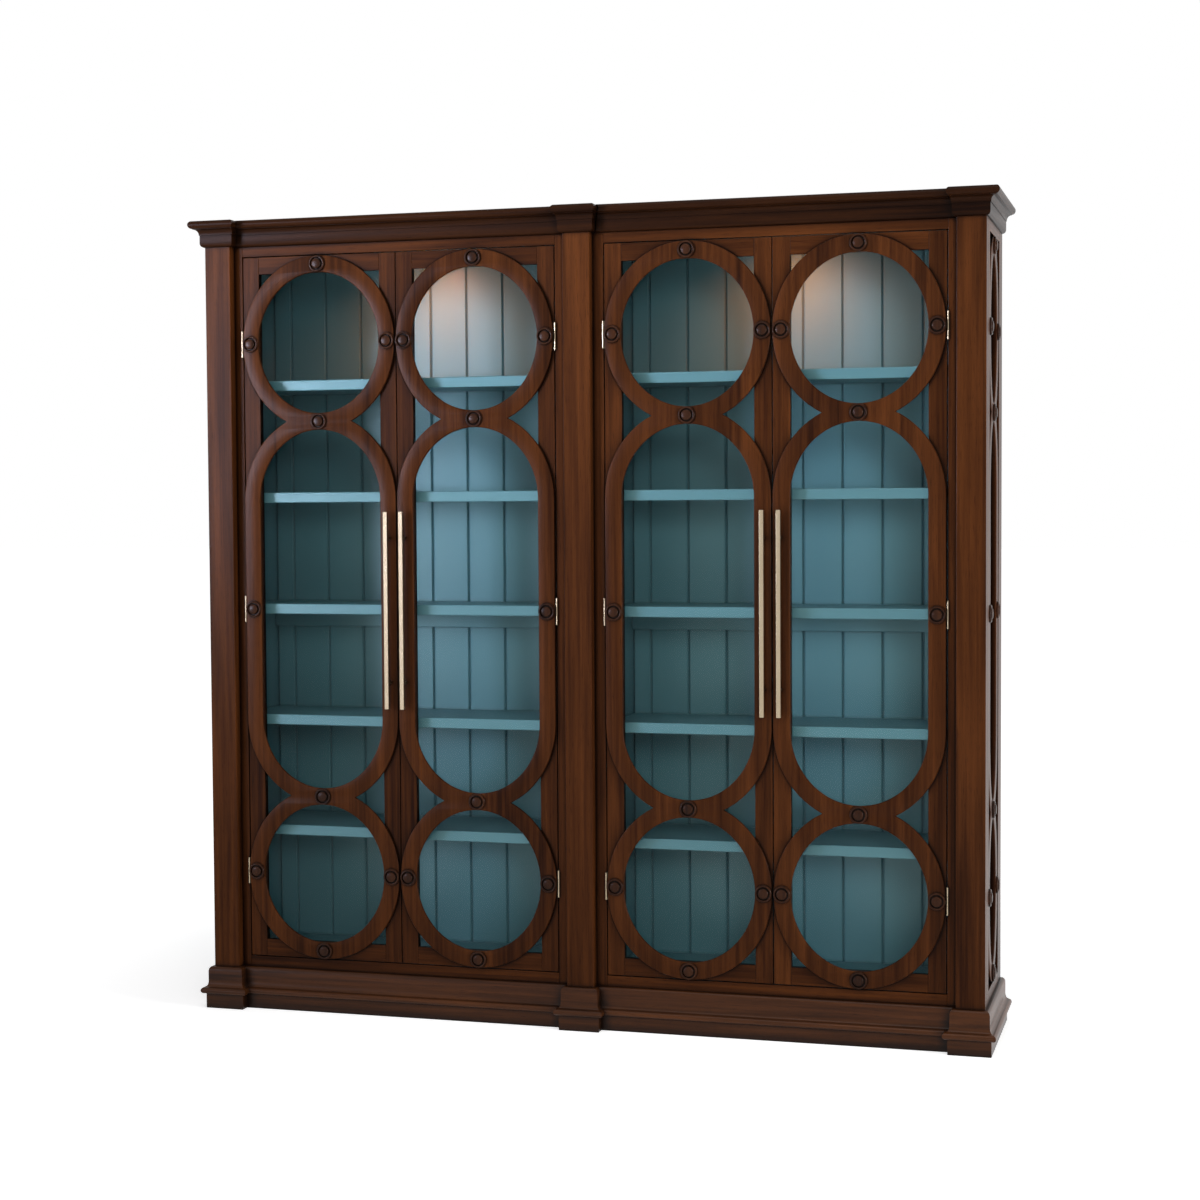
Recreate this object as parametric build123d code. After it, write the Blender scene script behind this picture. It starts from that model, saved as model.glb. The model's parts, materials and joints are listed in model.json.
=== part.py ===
"""Two-bay display bookcase: a breakfront case with four glazed doors.

The case is two cabinets standing side by side.  Each has a face frame, a panelled end, a
boarded back, five shelves and a pair of doors.  Three pilasters stand in front of the
face frames, and the base and cornice mouldings break forward round them.  The left
cabinet carries the middle pilaster, and the right cabinet butts against it.

Frame: millimetres, +X to the right, +Y to the back, +Z up.  The origin is on the floor,
in the middle of the footprint of the whole case.

Each cabinet is drawn as the right-hand one, with x measured outwards from the middle
pilaster, and the left one is mirrored.
"""

from build123d import *
from math import cos, pi
import os

# Heights, from the floor up
BASE_HEIGHT = 122
BOTTOM_RAIL = 30          # face frame showing between base and doors
DOOR_HEIGHT = 2040
TOP_RAIL = 28             # face frame showing between doors and cornice
CORNICE_HEIGHT = 75

# Widths, from the middle of the case outwards
PILASTER_WIDTH = 79
INNER_STRIP = 31          # face frame showing between middle pilaster and door
DOOR_WIDTH = 471
OUTER_STRIP = 25          # face frame showing between door and outer pilaster
DOOR_GAP = 2.5            # clearance round and between the doors

# Depths
CASE_DEPTH = 390          # front of the face frame to the back edge of the ends
PILASTER_PROUD = 30
PILASTER_ARRIS = 2        # flat planed on the two front edges
FACE_FRAME_THICK = 22

# Case boards
BOARD = 18                # ends, inner sides
DECK = 20                 # top, bottom and shelf boards
END_FRAME_THICK = 26
END_FRONT_STILE = 32
END_REAR_STILE = 82
END_PANEL_THICK = 8
END_PANEL_LAP = 10        # how far the end panel is let into its frame
BACK_FRONT = 346          # front of the back boards, behind the face
BACK_BOARD_THICK = 12
BACK_BOARD_WIDTH = 114
BACK_GROOVE = 5           # depth of the V between two back boards
BACK_GAP = 0.4
BACK_CLEAT = 60           # height of the cleats that hold the back boards
COVER_THICK = 12          # dust cover in the top
COVER_DROP = 18           # how far the dust cover lies below the top

# Shelves
SHELF_COUNT = 5
SHELF_MIDDLE_TOP = 1189   # top of the middle, fixed shelf's front edge
SHELF_PITCH = 325
SHELF_FRONT = 32          # front of the shelves, behind the face
LIP_HEIGHT = 30
LIP_THICK = 20
LIP_STEP = 5              # how far the lip stands above its board
SHELF_SIDE_GAP = 1.5
SHELF_BACK_GAP = 4
BACK_RAIL_HEIGHT = 57
PIN_SIZE = 8
PIN_REACH = 12
PIN_INSET = 40

# Doors
DOOR_THICK = 22
STILE = 49
RAIL = 49
GLASS_THICK = 4
GLASS_SET_BACK = 10       # front of the glass, behind the front of the door frame
REBATE = 9
GLASS_GAP = 1
BEAD_WIDTH = 8

# Fretwork of rings
BAND = 48
BAND_THICK = 10
RING_HALF_HEIGHT = 250
BAND_EDGE_GAP = 0.5       # between the fretwork and the edge of the door
END_BAND_THICK = 16.5
END_BAND_GAP = 0.3

# Turned bosses, drawn with few sides because there are so many of them
BOSS_SIDES = 12
BOSS_RADIUS = 23.5
BOSS_RIM_HEIGHT = 5
BOSS_RIM_TAPER = 25       # degrees
BUTTON_RADIUS = 14
BOSS_HEIGHT = 10

# Handles
BAR = 12
BAR_LENGTH = 564
BAR_STAND_OFF = 20        # clear space between fretwork and bar
BAR_INSET = 22            # centre of the bar from the free edge of the door
POST = 8
POST_SPACING = 414

# Hinges, also drawn with few sides
HINGE_SIDES = 8
HINGE_LENGTH = 76
KNUCKLE_RADIUS = 3
HINGE_PIN_RADIUS = 1.5
HINGE_RUNNING_GAP = 0.06
KNUCKLE_GAP = 0.3
LEAF_THICK = 1
LEAF_WIDTH = 16
AXIS_PROUD = 3.5          # hinge axis in front of the face
AXIS_OUT = 3.4            # hinge axis outside the edge of the door

# Mouldings: how far each member stands out from the wall it runs on
NOSE_OUT = 37
NOSE_OUT_INNER = 24       # on the short returns beside the doors
NOSE_HEIGHT = 23
COVE_HEIGHT = 16
COVE_SHARE = 0.55         # share of the step from frieze to nose that the cove takes
FRIEZE_OUT = 11
BED_HEIGHT = 11
BED_OUT = 2
BED_MID_OUT = 8.75        # a point on the bed mould's round
BED_MID_HEIGHT = 3.85
PLINTH_OUT = 19
PLINTH_HEIGHT = 43
TORUS_OUT = 32
TORUS_HEIGHT = 19
DIE_OUT = 14
SWEEP_HEIGHT = 17
CAP_HEIGHT = 12
CAP_OUT = 3
CAP_MID_OUT = 10.7        # a point on the cap's round
CAP_MID_HEIGHT = 8.16
CASE_JOINT = 4            # open joint between the middle capital and the right cornice
BASE_JOINT = 0.5          # the same joint in the base

# Lights
PUCK_RADIUS = 34
PUCK_HEIGHT = 12
PUCK_DEPTH = 150          # centre of the light, behind the face

# Levels
OPEN_BOTTOM = BASE_HEIGHT + BOTTOM_RAIL
DOOR_BOTTOM = OPEN_BOTTOM + DOOR_GAP
DOOR_TOP = DOOR_BOTTOM + DOOR_HEIGHT
DOOR_MIDDLE = (DOOR_BOTTOM + DOOR_TOP) / 2
OPEN_TOP = DOOR_TOP + DOOR_GAP
CORNICE_BOTTOM = OPEN_TOP + TOP_RAIL
HEIGHT = CORNICE_BOTTOM + CORNICE_HEIGHT
COVER_TOP = HEIGHT - COVER_DROP
SIDE_TOP = COVER_TOP - COVER_THICK

# Planes along Y
DEPTH = NOSE_OUT + PILASTER_PROUD + CASE_DEPTH
FAR = 2 * DEPTH           # clear of the case on any side
PILASTER_FRONT = NOSE_OUT - DEPTH / 2
FACE = PILASTER_FRONT + PILASTER_PROUD
FACE_BACK = FACE + FACE_FRAME_THICK
BACK = FACE + CASE_DEPTH
BACK_BOARD_FRONT = FACE + BACK_FRONT
BAND_FRONT = FACE - BAND_THICK
HINGE_Y = FACE - AXIS_PROUD

# Places along X, outwards from the middle
HALF_PILASTER = PILASTER_WIDTH / 2
OPEN_INNER = HALF_PILASTER + INNER_STRIP
OPEN_OUTER = OPEN_INNER + 2 * DOOR_WIDTH + 3 * DOOR_GAP
OUTER_PILASTER = OPEN_OUTER + OUTER_STRIP
HALF_WIDTH = OUTER_PILASTER + PILASTER_WIDTH
END_FRAME_INSIDE = HALF_WIDTH - END_FRAME_THICK
LINER_INSIDE = END_FRAME_INSIDE - BOARD
INNER_DOOR = (OPEN_INNER + DOOR_GAP, OPEN_INNER + DOOR_GAP + DOOR_WIDTH)
OUTER_DOOR = (INNER_DOOR[1] + DOOR_GAP, INNER_DOOR[1] + DOOR_GAP + DOOR_WIDTH)

# Fretwork, heights from the middle of the door
RING_CENTRE = DOOR_HEIGHT / 2 - BAND_EDGE_GAP - RING_HALF_HEIGHT
JUNCTION = RING_CENTRE - RING_HALF_HEIGHT + BAND / 2
LONG_STRAIGHT = JUNCTION + BAND / 2 - RING_HALF_HEIGHT

os.makedirs("parts", exist_ok=True)


def block(x, y, z):
    """A board given by its two limits along each axis."""
    size = [max(limits) - min(limits) for limits in (x, y, z)]
    middle = [sum(limits) / 2 for limits in (x, y, z)]
    return Pos(*middle) * Box(*size)


def place(solids, side):
    """Leave a right-hand piece, or mirror it to the left."""
    return [solid if side > 0 else mirror(solid, about=Plane.YZ) for solid in solids]


def write(name, solids):
    """Write one node, each piece as a solid of its own."""
    parts = [part for solid in solids for part in solid.solids()]
    export_step(Compound(children=parts, label=name), f"parts/{name}.step")


# --- Mouldings -----------------------------------------------------------------------


def cornice_profile(back, nose_out):
    """Cross-section, outwards along +X from the wall and up from the foot of the cornice."""
    nose_bottom = CORNICE_HEIGHT - NOSE_HEIGHT
    cove_bottom = nose_bottom - COVE_HEIGHT
    cove_top_out = FRIEZE_OUT + COVE_SHARE * (nose_out - FRIEZE_OUT)
    bulge = NOSE_HEIGHT / 2
    lines = [
        Line((-back, 0), (BED_OUT, 0)),
        ThreePointArc(
            (BED_OUT, 0),
            (BED_MID_OUT, BED_MID_HEIGHT),
            (FRIEZE_OUT, BED_HEIGHT),
        ),
        Line((FRIEZE_OUT, BED_HEIGHT), (FRIEZE_OUT, cove_bottom)),
        TangentArc((FRIEZE_OUT, cove_bottom), (cove_top_out, nose_bottom), tangent=(0, 1)),
        Line((cove_top_out, nose_bottom), (nose_out - bulge / 2, nose_bottom)),
        ThreePointArc(
            (nose_out - bulge / 2, nose_bottom),
            (nose_out, nose_bottom + bulge),
            (nose_out - bulge / 2, CORNICE_HEIGHT),
        ),
        Line((nose_out - bulge / 2, CORNICE_HEIGHT), (-back, CORNICE_HEIGHT)),
        Line((-back, CORNICE_HEIGHT), (-back, 0)),
    ]
    return make_face(lines)


def base_profile(back):
    """Cross-section, outwards along +X from the wall and up from the floor."""
    torus_top = PLINTH_HEIGHT + TORUS_HEIGHT
    die_bottom = torus_top + SWEEP_HEIGHT
    die_top = BASE_HEIGHT - CAP_HEIGHT
    torus_radius = TORUS_HEIGHT / 2
    torus_in = TORUS_OUT - torus_radius
    lines = [
        Line((-back, 0), (PLINTH_OUT, 0)),
        Line((PLINTH_OUT, 0), (PLINTH_OUT, PLINTH_HEIGHT)),
        Line((PLINTH_OUT, PLINTH_HEIGHT), (torus_in, PLINTH_HEIGHT)),
        ThreePointArc(
            (torus_in, PLINTH_HEIGHT), (TORUS_OUT, PLINTH_HEIGHT + torus_radius), (torus_in, torus_top)
        ),
        TangentArc((DIE_OUT, die_bottom), (torus_in, torus_top), tangent=(0, -1)),
        Line((DIE_OUT, die_bottom), (DIE_OUT, die_top)),
        ThreePointArc(
            (DIE_OUT, die_top),
            (CAP_MID_OUT, die_top + CAP_MID_HEIGHT),
            (CAP_OUT, BASE_HEIGHT),
        ),
        Line((CAP_OUT, BASE_HEIGHT), (-back, BASE_HEIGHT)),
        Line((-back, BASE_HEIGHT), (-back, 0)),
    ]
    return make_face(lines)


def front_run(profile, x, wall):
    """A moulding on a wall that faces the front, between two places along X."""
    start = Plane(origin=(max(x), wall, 0), x_dir=(0, -1, 0), z_dir=(-1, 0, 0))
    return extrude(start * profile, amount=max(x) - min(x))


def silhouette(make_profile, x, left_size, right_size):
    """A moulded block seen from the front, with a return at each side of a pilaster."""
    half = (max(x) - min(x)) / 2
    right = Pos(max(x), 0) * make_profile(half, right_size)
    left = Pos(min(x), 0) * mirror(make_profile(half, left_size), about=Plane.YZ)
    return right + left


def capped_block(make_profile, x, left_size, right_size, front_size):
    """A moulded block round a pilaster: its front and both returns, mitred."""
    start = Plane(origin=(0, FAR, 0), x_dir=(1, 0, 0), z_dir=(0, -1, 0))
    returns = extrude(start * silhouette(make_profile, x, left_size, right_size), amount=2 * FAR)
    reach = (min(x) - DEPTH, max(x) + DEPTH)
    return returns & front_run(make_profile(DEPTH, front_size), reach, PILASTER_FRONT)


def moulding_nodes(make_profile, outer_size, inner_size, joint, height):
    """The lengths of moulding of the left and of the right cabinet, standing at height 0."""
    tall = (-1, height + 1)
    case = block((-HALF_WIDTH, HALF_WIDTH), (FACE, BACK), tall)
    behind = block((-2 * HALF_WIDTH, 2 * HALF_WIDTH), (BACK, BACK + DEPTH), tall)
    behind_face = block((-DEPTH, DEPTH), (FACE, BACK + DEPTH), tall)
    pilaster_depth = (PILASTER_FRONT, FACE)
    end = (OUTER_PILASTER, HALF_WIDTH)
    middle = (-HALF_PILASTER, HALF_PILASTER)
    beyond_joint = (-HALF_PILASTER, HALF_PILASTER + joint)

    end_block = capped_block(make_profile, end, inner_size, outer_size, outer_size)
    middle_block = capped_block(make_profile, middle, inner_size, inner_size, outer_size)
    joint_block = capped_block(make_profile, beyond_joint, inner_size, inner_size, outer_size)
    run = front_run(make_profile(1, outer_size), (HALF_PILASTER, OUTER_PILASTER), FACE) - case

    end_piece = end_block - case - behind - block(end, pilaster_depth, tall)
    middle_piece = middle_block - behind_face - block(middle, pilaster_depth, tall)
    left = place([run - middle_block - end_block, end_piece], -1) + [middle_piece]
    right = [run - joint_block - end_block, end_piece]
    return left, right


def sized_base(back, size):
    """The base profile, which keeps one size on all its runs."""
    return base_profile(back)


# --- Case ----------------------------------------------------------------------------


def inner_limit(side):
    """The left cabinet reaches past the middle, under the pilaster that it carries."""
    return HALF_PILASTER if side > 0 else -HALF_PILASTER


def face_frame(side):
    inner = (inner_limit(side), OPEN_INNER)
    outer = (OPEN_OUTER, HALF_WIDTH)
    depth = (FACE, FACE_BACK)
    between = (OPEN_INNER, OPEN_OUTER)
    return [
        block(inner, depth, (0, HEIGHT)),
        block(outer, depth, (0, HEIGHT)),
        block(between, depth, (0, OPEN_BOTTOM)),
        block(between, depth, (OPEN_TOP, HEIGHT)),
    ]


def end_opening():
    """Limits of the opening in the end frame, along Y and Z."""
    return (FACE_BACK + END_FRONT_STILE, BACK - END_REAR_STILE), (DOOR_BOTTOM, DOOR_TOP)


def end_frame(side):
    (y_front, y_back), (z_bottom, z_top) = end_opening()
    thick = (END_FRAME_INSIDE, HALF_WIDTH)
    panel = block(
        (END_FRAME_INSIDE, END_FRAME_INSIDE + END_PANEL_THICK),
        (y_front - END_PANEL_LAP, y_back + END_PANEL_LAP),
        (z_bottom - END_PANEL_LAP, z_top + END_PANEL_LAP),
    )
    members = [
        block(thick, (FACE_BACK, y_front), (0, HEIGHT)),
        block(thick, (y_back, BACK), (0, HEIGHT)),
        block(thick, (y_front, y_back), (0, z_bottom)),
        block(thick, (y_front, y_back), (z_top, HEIGHT)),
    ]
    return [member - panel for member in members] + [panel]


def case_side(x):
    """A side board of the case, housed round the bottom and top boards."""
    return [block(x, (FACE_BACK, BACK), (0, SIDE_TOP))]


def interior(side):
    """Clear width between the side boards."""
    return inner_limit(side) + BOARD, LINER_INSIDE


def deck(side, z):
    return [block(interior(side), (FACE_BACK, BACK), z)]


def back_boards(side):
    """Matched boards from the outer wall inwards, with a V at each joint, and their cleats."""
    x_inner, x_outer = interior(side)
    joint = x_outer - BACK_BOARD_WIDTH / 2
    limits = [x_outer]
    while joint > x_inner + BACK_BOARD_WIDTH / 4:
        limits.append(joint)
        joint -= BACK_BOARD_WIDTH
    limits.append(x_inner)
    front = BACK_BOARD_FRONT
    rear = front + BACK_BOARD_THICK
    boards = []
    for right, left in zip(limits, limits[1:]):
        x_right = right - (BACK_GAP / 2 if right != x_outer else 0)
        x_left = left + (BACK_GAP / 2 if left != x_inner else 0)
        outline = Polyline(
            (x_left, rear),
            (x_left, front + BACK_GROOVE),
            (x_left + BACK_GROOVE, front),
            (x_right - BACK_GROOVE, front),
            (x_right, front + BACK_GROOVE),
            (x_right, rear),
            close=True,
        )
        boards.append(Pos(0, 0, OPEN_BOTTOM) * extrude(make_face(outline), amount=OPEN_TOP - OPEN_BOTTOM))
    cleat_depth = (rear, rear + BOARD)
    boards.append(block(interior(side), cleat_depth, (OPEN_BOTTOM, OPEN_BOTTOM + BACK_CLEAT)))
    boards.append(block(interior(side), cleat_depth, (OPEN_TOP - BACK_CLEAT, OPEN_TOP)))
    return boards


def shelf_level(number):
    """Underside and top of a shelf's board; number 1 is the highest."""
    lip_top = SHELF_MIDDLE_TOP + (SHELF_COUNT // 2 + 1 - number) * SHELF_PITCH
    board_top = lip_top - LIP_STEP
    return board_top - DECK, board_top


def is_fixed(number):
    return number == SHELF_COUNT // 2 + 1


def shelf(side, number):
    x_inner, x_outer = interior(side)
    bottom, top = shelf_level(number)
    gap = 0 if is_fixed(number) else SHELF_SIDE_GAP
    width = (x_inner + gap, x_outer - gap)
    front = FACE + SHELF_FRONT
    rear = BACK_BOARD_FRONT - (0 if is_fixed(number) else SHELF_BACK_GAP)
    lip_top = top + LIP_STEP
    pieces = [
        block(width, (front, front + LIP_THICK), (lip_top - LIP_HEIGHT, lip_top)),
        block(width, (front + LIP_THICK, rear), (bottom, top)),
    ]
    if is_fixed(number):
        pieces.append(block(width, (rear - BOARD, rear), (bottom - BACK_RAIL_HEIGHT, bottom)))
    return pieces


def shelf_pins(side):
    """Square metal rests, let into the side boards under each loose shelf."""
    x_inner, x_outer = interior(side)
    front = FACE + SHELF_FRONT + LIP_THICK + PIN_INSET
    rear = BACK_BOARD_FRONT - SHELF_BACK_GAP - PIN_INSET
    pins = []
    for number in range(1, SHELF_COUNT + 1):
        bottom, _ = shelf_level(number)
        if is_fixed(number):
            continue
        for y in (front, rear):
            for wall, reach in ((x_inner, PIN_REACH), (x_outer, -PIN_REACH)):
                width = (wall, wall + reach)
                pins.append(block(width, (y - PIN_SIZE / 2, y + PIN_SIZE / 2), (bottom - PIN_SIZE / 2, bottom)))
    return pins


def puck_light(side):
    middle = (OPEN_INNER + OPEN_OUTER) / 2
    body = Cylinder(PUCK_RADIUS, PUCK_HEIGHT, align=(Align.CENTER, Align.CENTER, Align.MAX))
    return [Pos(middle, FACE + PUCK_DEPTH, OPEN_TOP) * body]


def dust_cover(side):
    width = (inner_limit(side), END_FRAME_INSIDE)
    return block(width, (FACE_BACK, BACK), (SIDE_TOP, COVER_TOP))


def pilaster(x):
    shaft = block(x, (PILASTER_FRONT, FACE), (0, HEIGHT))
    arrises = shaft.edges().filter_by(Axis.Z).group_by(Axis.Y)[0]
    return [chamfer(arrises, PILASTER_ARRIS)]


# --- Fretwork ------------------------------------------------------------------------


def oval(half_width, half_height, straight):
    """An oval, or a long one with two straight sides, about the origin."""
    shape = Ellipse(half_width, half_height)
    if straight > 0:
        ends = Pos(0, straight) * shape + Pos(0, -straight) * shape
        shape = ends + Rectangle(2 * half_width, 2 * straight)
    return shape


def band(half_width, straight):
    """A flat ring of even width."""
    outside = oval(half_width, RING_HALF_HEIGHT, straight)
    return outside - oval(half_width - BAND, RING_HALF_HEIGHT - BAND, straight)


def fretwork(half_width, plane, thick):
    """Three rings one above the other, butted where they cross, on a plane facing the viewer."""
    wide = 4 * half_width
    tall = 4 * RING_HALF_HEIGHT
    above = Pos(0, JUNCTION + tall / 2) * Rectangle(wide, tall)
    below = Pos(0, -JUNCTION - tall / 2) * Rectangle(wide, tall)
    rings = [
        (Pos(0, RING_CENTRE) * band(half_width, 0)) & above,
        band(half_width, LONG_STRAIGHT) - above - below,
        (Pos(0, -RING_CENTRE) * band(half_width, 0)) & below,
    ]
    return [extrude(plane * ring, amount=thick) for ring in rings]


def boss():
    """A button inside a tapered rim, standing on the XY plane."""
    rim = extrude(RegularPolygon(BOSS_RADIUS, BOSS_SIDES), amount=BOSS_RIM_HEIGHT, taper=BOSS_RIM_TAPER)
    return rim + extrude(RegularPolygon(BUTTON_RADIUS, BOSS_SIDES), amount=BOSS_HEIGHT)


def bosses(half_width, plane, thick, middle_sides):
    """Bosses at the crossings and at the widest and highest places of the rings."""
    across = half_width - BAND / 2
    up = RING_HALF_HEIGHT - BAND / 2
    spots = [(0, RING_CENTRE + up), (0, JUNCTION), (0, -JUNCTION), (0, -RING_CENTRE - up)]
    spots += [(x, z) for z in (RING_CENTRE, -RING_CENTRE) for x in (-across, across)]
    spots += [(edge * across, 0) for edge in middle_sides]
    turned = boss()
    return [plane * Pos(x, z, thick) * turned for x, z in spots]


def end_fretwork(side):
    """The end's narrow rings and their bosses, planted on the panel inside its frame."""
    (y_front, y_back), _ = end_opening()
    half_width = (y_back - y_front) / 2 - END_BAND_GAP
    origin = (END_FRAME_INSIDE + END_PANEL_THICK, (y_front + y_back) / 2, DOOR_MIDDLE)
    plane = Plane(origin=origin, x_dir=(0, 1, 0), z_dir=(1, 0, 0))
    rings = fretwork(half_width, plane, END_BAND_THICK)
    return rings + bosses(half_width, plane, END_BAND_THICK, (-1, 1))


# --- Doors ---------------------------------------------------------------------------


def door_frame(x):
    """Stiles, rails between them, and the beads that hold the glass from behind."""
    left, right = x
    depth = (FACE, FACE + DOOR_THICK)
    inside = (left + STILE, right - STILE)
    height = (DOOR_BOTTOM, DOOR_TOP)
    opening = (DOOR_BOTTOM + RAIL, DOOR_TOP - RAIL)
    rebate = block(
        (inside[0] - REBATE, inside[1] + REBATE),
        (FACE + GLASS_SET_BACK, FACE_BACK + DOOR_THICK),
        (opening[0] - REBATE, opening[1] + REBATE),
    )
    members = [
        block((left, inside[0]), depth, height),
        block((inside[1], right), depth, height),
        block(inside, depth, (DOOR_BOTTOM, opening[0])),
        block(inside, depth, (opening[1], DOOR_TOP)),
    ]
    bead_depth = (FACE + GLASS_SET_BACK + GLASS_THICK, FACE + DOOR_THICK)
    x_bead = (inside[0] - REBATE, inside[1] + REBATE)
    z_bead = (opening[0] - REBATE, opening[1] + REBATE)
    z_short = (z_bead[0] + BEAD_WIDTH, z_bead[1] - BEAD_WIDTH)
    beads = [
        block(x_bead, bead_depth, (z_bead[0], z_short[0])),
        block(x_bead, bead_depth, (z_short[1], z_bead[1])),
        block((x_bead[0], x_bead[0] + BEAD_WIDTH), bead_depth, z_short),
        block((x_bead[1] - BEAD_WIDTH, x_bead[1]), bead_depth, z_short),
    ]
    return [member - rebate for member in members] + beads


def door_glass(x):
    reach = REBATE - GLASS_GAP
    return [
        block(
            (x[0] + STILE - reach, x[1] - STILE + reach),
            (FACE + GLASS_SET_BACK, FACE + GLASS_SET_BACK + GLASS_THICK),
            (DOOR_BOTTOM + RAIL - reach, DOOR_TOP - RAIL + reach),
        )
    ]


def door_front(x):
    """Plane on the front of a door, seen from the front with +X to the right."""
    return Plane(origin=((x[0] + x[1]) / 2, FACE, DOOR_MIDDLE), x_dir=(1, 0, 0), z_dir=(0, -1, 0))


def handle(x):
    """A square bar on two square posts."""
    bar_back = BAND_FRONT - BAR_STAND_OFF
    bar = block(
        (x - BAR / 2, x + BAR / 2),
        (bar_back - BAR, bar_back),
        (DOOR_MIDDLE - BAR_LENGTH / 2, DOOR_MIDDLE + BAR_LENGTH / 2),
    )
    pieces = [bar]
    post = (x - POST / 2, x + POST / 2)
    for z in (DOOR_MIDDLE - POST_SPACING / 2, DOOR_MIDDLE + POST_SPACING / 2):
        pieces.append(block(post, (bar_back, BAND_FRONT), (z - POST / 2, z + POST / 2)))
    return pieces


def hinge_levels():
    return [DOOR_MIDDLE + RING_CENTRE, DOOR_MIDDLE, DOOR_MIDDLE - RING_CENTRE]


def hinge_axis(x, outward):
    """Place along X of the axis, outside the hinged edge of a door."""
    return (x[1] if outward > 0 else x[0]) + outward * AXIS_OUT


def hinge_prism(x, low, high, radius):
    """A length of knuckle, pin or bore on a hinge axis."""
    foot = Plane(origin=(x, HINGE_Y, low))
    return extrude(foot * RegularPolygon(radius, HINGE_SIDES), amount=high - low)


def door_leaf(x, outward, level):
    """The leaf on the door's edge, with the middle knuckle bored for the pin."""
    edge = x[1] if outward > 0 else x[0]
    axis = hinge_axis(x, outward)
    half = HINGE_LENGTH / 2
    knuckle_half = HINGE_LENGTH / 6 - KNUCKLE_GAP / 2
    limits = (level - knuckle_half, level + knuckle_half)
    width = (edge, edge + outward * LEAF_THICK)
    plate = block(width, (FACE, FACE + LEAF_WIDTH), (level - half, level + half))
    tab = block(width, (HINGE_Y, FACE), limits)
    flat_radius = HINGE_PIN_RADIUS + HINGE_RUNNING_GAP
    bore = hinge_prism(axis, level - half, level + half, flat_radius / cos(pi / HINGE_SIDES))
    return plate + tab + hinge_prism(axis, *limits, KNUCKLE_RADIUS) - bore


def frame_leaf(x, outward, level):
    """The leaf on the face frame, with the two end knuckles and the pin riveted in them."""
    edge = x[1] if outward > 0 else x[0]
    axis = hinge_axis(x, outward)
    wall = edge + outward * DOOR_GAP
    half = HINGE_LENGTH / 2
    inner = HINGE_LENGTH / 6 + KNUCKLE_GAP / 2
    width = (wall - outward * LEAF_THICK, wall)
    leaf = block(width, (FACE, FACE + LEAF_WIDTH), (level - half, level + half))
    leaf = leaf + hinge_prism(axis, level - half, level + half, HINGE_PIN_RADIUS)
    for limits in ((level - half, level - inner), (level + inner, level + half)):
        leaf = leaf + hinge_prism(axis, *limits, KNUCKLE_RADIUS) + block(width, (HINGE_Y, FACE), limits)
    return leaf


def door_nodes(name, x, outward, side):
    """All the pieces of one door; outward is the way from its free edge to its hinges."""
    free_edge = x[0] if outward > 0 else x[1]
    half_width = (x[1] - x[0]) / 2 - BAND_EDGE_GAP
    front = door_front(x)
    write(f"{name}_frame", place(door_frame(x), side))
    write(f"{name}_glass", place(door_glass(x), side))
    write(f"{name}_rings", place(fretwork(half_width, front, BAND_THICK), side))
    write(f"{name}_bosses", place(bosses(half_width, front, BAND_THICK, (outward,)), side))
    write(f"{name}_handle", place(handle(free_edge + outward * BAR_INSET), side))
    write(f"{name}_hinge_leaves", place([door_leaf(x, outward, z) for z in hinge_levels()], side))


# --- Write every node ----------------------------------------------------------------

frame_leaves = []
pins = []
pucks = []
doors = {
    ("left", OUTER_DOOR): "door_1",
    ("left", INNER_DOOR): "door_2",
    ("right", INNER_DOOR): "door_3",
    ("right", OUTER_DOOR): "door_4",
}

cornices = moulding_nodes(cornice_profile, NOSE_OUT, NOSE_OUT_INNER, CASE_JOINT, CORNICE_HEIGHT)
bases = moulding_nodes(sized_base, TORUS_OUT, TORUS_OUT, BASE_JOINT, BASE_HEIGHT)

for index, (hand, side) in enumerate((("left", -1), ("right", 1))):
    inner_wall = (inner_limit(side), inner_limit(side) + BOARD)
    write(f"{hand}_face_frame", place(face_frame(side), side))
    write(f"{hand}_end_frame", place(end_frame(side), side))
    write(f"{hand}_end_fretwork", place(end_fretwork(side), side))
    write(f"{hand}_end_liner", place(case_side((LINER_INSIDE, END_FRAME_INSIDE)), side))
    write(f"{hand}_inner_side", place(case_side(inner_wall), side))
    write(f"{hand}_bottom_board", place(deck(side, (OPEN_BOTTOM - DECK, OPEN_BOTTOM)), side))
    write(f"{hand}_top_board", place(deck(side, (OPEN_TOP, OPEN_TOP + DECK)), side))
    write(f"{hand}_back_boards", place(back_boards(side), side))
    for number in range(1, SHELF_COUNT + 1):
        write(f"{hand}_shelf_{number}", place(shelf(side, number), side))
    raised = [Pos(0, 0, CORNICE_BOTTOM) * length for length in cornices[index]]
    write(f"{hand}_cornice", raised + place([dust_cover(side)], side))
    write(f"{hand}_base_moulding", bases[index])
    pins += place(shelf_pins(side), side)
    pucks += place(puck_light(side), side)
    for x, outward in ((INNER_DOOR, -1), (OUTER_DOOR, 1)):
        door_nodes(doors[hand, x], x, outward, side)
        frame_leaves += place([frame_leaf(x, outward, z) for z in hinge_levels()], side)

write("left_pilaster", place(pilaster((OUTER_PILASTER, HALF_WIDTH)), -1))
write("middle_pilaster", pilaster((-HALF_PILASTER, HALF_PILASTER)))
write("right_pilaster", pilaster((OUTER_PILASTER, HALF_WIDTH)))
write("shelf_pins", pins)
write("puck_lights", pucks)
write("frame_hinge_leaves", frame_leaves)
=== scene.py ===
import json
import math
import random

import bmesh
import bpy
from mathutils import Matrix, Vector


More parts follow.
